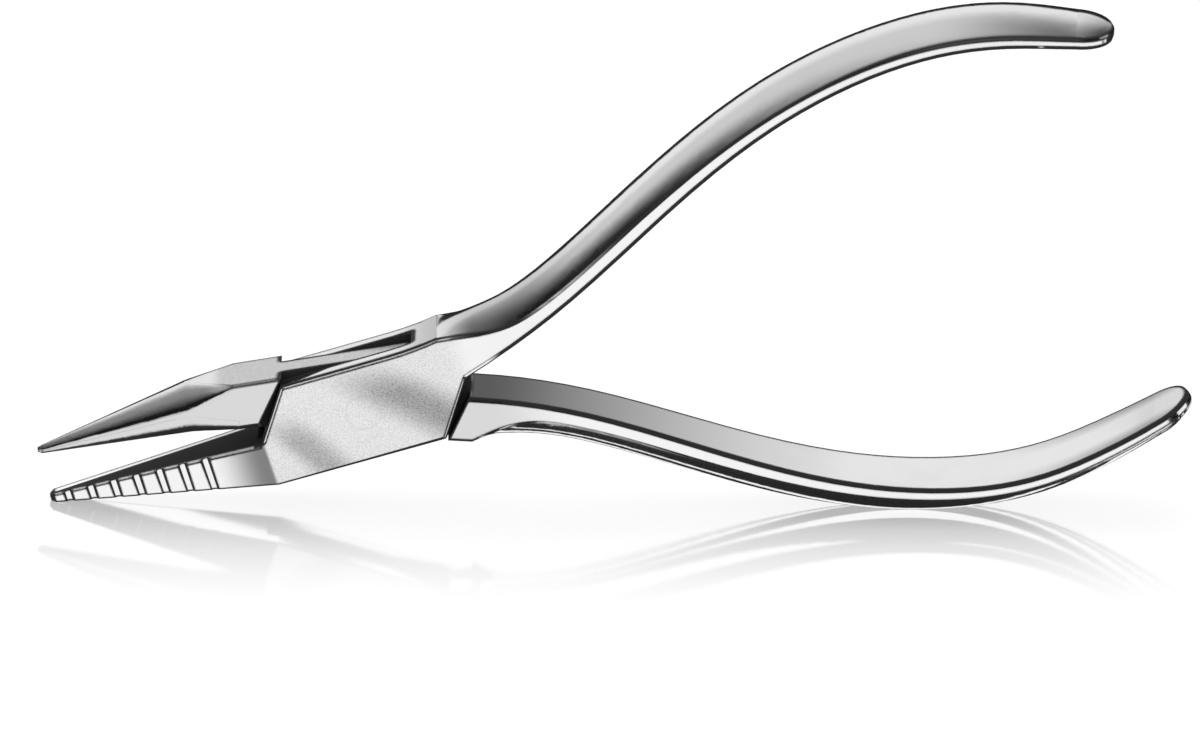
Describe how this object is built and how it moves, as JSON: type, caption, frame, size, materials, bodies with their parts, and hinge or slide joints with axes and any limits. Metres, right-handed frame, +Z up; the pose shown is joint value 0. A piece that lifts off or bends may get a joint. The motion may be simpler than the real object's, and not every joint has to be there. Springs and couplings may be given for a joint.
{
  "type": "orthodontic pliers",
  "caption": "Steel box-joint pliers with a slim round beak over a grooved square beak and bowed handles, for bending orthodontic wire.",
  "frame": {"origin": "middle of the overall length and width, on the plane that the lower beak's tip and the lower handle's bend stand on", "axes": "+X from the beaks to the handle tips, +Y along the pin from the grooved side to the plain side, +Z up from the lower handle to the upper one"},
  "size_m": [0.1297, 0.0096, 0.0612],
  "materials": {
    "box_half": "polished",
    "tongue_half": "polished",
    "pivot_pin": "satin, ground flush"
  },
  "bodies": {
    "box_body": {"box_half": "box_half", "pivot_pin": "pivot_pin"},
    "tongue_body": {"tongue_half": "tongue_half"}
  },
  "joints": [
    {"name": "pivot", "type": "hinge", "parent": "box_body", "child": "tongue_body", "pos_m": [-0.02815, 0, 0.01243], "axis": [0, 1, 0], "range_deg": [-7.4, 25]}
  ]
}
